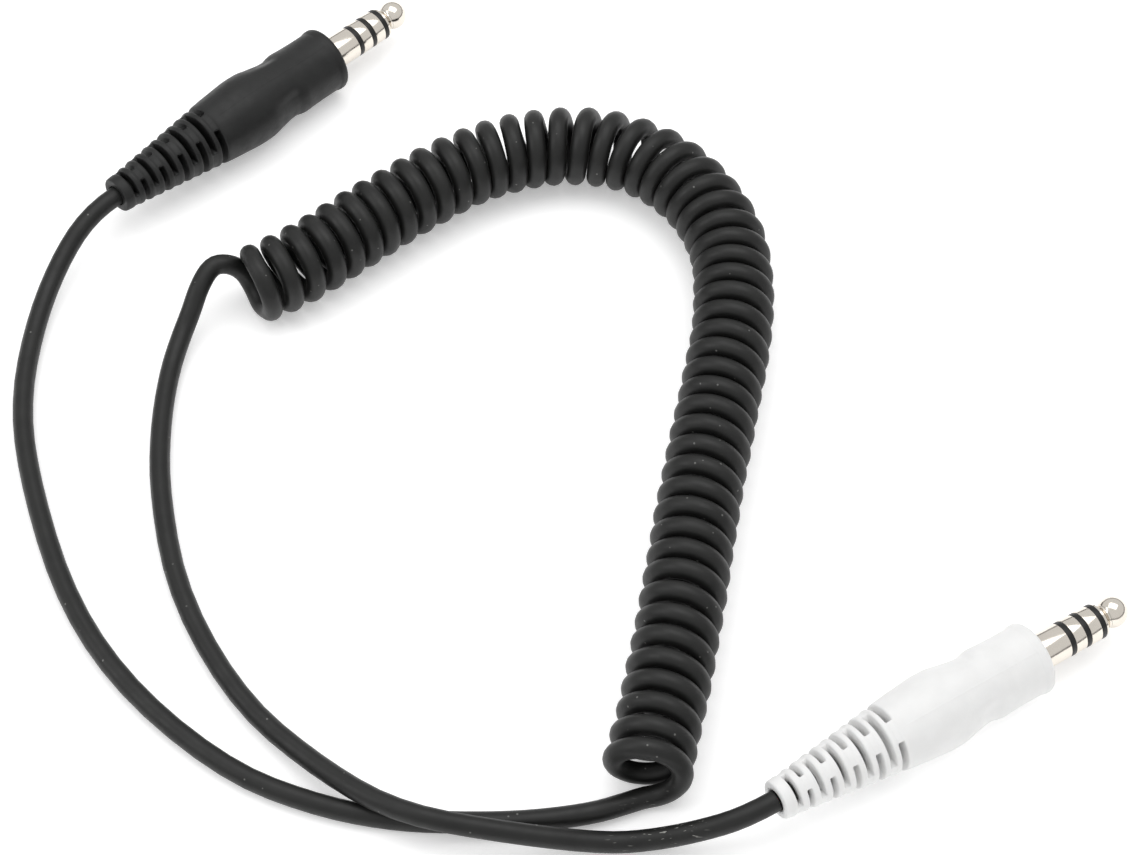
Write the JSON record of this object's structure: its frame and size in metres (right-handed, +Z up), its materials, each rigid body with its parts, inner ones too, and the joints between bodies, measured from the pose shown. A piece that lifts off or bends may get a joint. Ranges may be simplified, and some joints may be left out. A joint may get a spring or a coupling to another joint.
{
  "type": "coiled headset lead",
  "caption": "Curly black cord with a straight lead at each end and the same four-contact plug on both, one in a black boot and one in a white boot.",
  "frame": {"origin": "centre of the two plugs' box, on the surface that the lead lies on", "axes": "+Z up, lying flat; +Y away from the viewer and +X to the viewer's right; the black plug is at -X +Y and points away, the white plug is at +X -Y"},
  "size_m": [0.2173, 0.2093, 0.0166],
  "materials": {
    "boot_black": "satin moulded, near black",
    "boot_white": "soft matt moulded, white",
    "nickel": "bright nickel plating, slightly warm",
    "insulator_black": "smooth, black",
    "insulator_tan": "pressed laminate",
    "tinned_brass": "tinned",
    "cord_rubber": "satin jacket, near black",
    "core_blue": "insulated core",
    "core_red": "insulated core",
    "core_yellow": "insulated core",
    "core_green": "insulated core",
    "solder": "soft solder, satin"
  },
  "bodies": {
    "root": {"black_boot": "boot_black", "black_sleeve_contact": "nickel", "black_rear_ring_contact": "nickel", "black_front_ring_contact": "nickel", "black_tip_contact": "nickel", "black_rear_insulator": "insulator_black", "black_middle_insulator": "insulator_black", "black_front_insulator": "insulator_black", "black_rear_ring_lug": "tinned_brass", "black_front_ring_lug": "tinned_brass", "black_tip_lug": "tinned_brass", "black_cable_clamp": "tinned_brass", "black_cable_jacket": "cord_rubber", "black_terminal_wafers": "insulator_tan", "black_rear_ring_core": "core_blue", "black_front_ring_core": "core_red", "black_tip_core": "core_yellow", "black_sleeve_core": "core_green", "black_solder_joints": "solder", "white_boot": "boot_white", "white_sleeve_contact": "nickel", "white_rear_ring_contact": "nickel", "white_front_ring_contact": "nickel", "white_tip_contact": "nickel", "white_rear_insulator": "insulator_black", "white_middle_insulator": "insulator_black", "white_front_insulator": "insulator_black", "white_rear_ring_lug": "tinned_brass", "white_front_ring_lug": "tinned_brass", "white_tip_lug": "tinned_brass", "white_cable_clamp": "tinned_brass", "white_cable_jacket": "cord_rubber", "white_terminal_wafers": "insulator_tan", "white_rear_ring_core": "core_blue", "white_front_ring_core": "core_red", "white_tip_core": "core_yellow", "white_sleeve_core": "core_green", "white_solder_joints": "solder", "black_lead": "cord_rubber", "coil": "cord_rubber", "white_lead": "cord_rubber"}
  },
  "joints": []
}
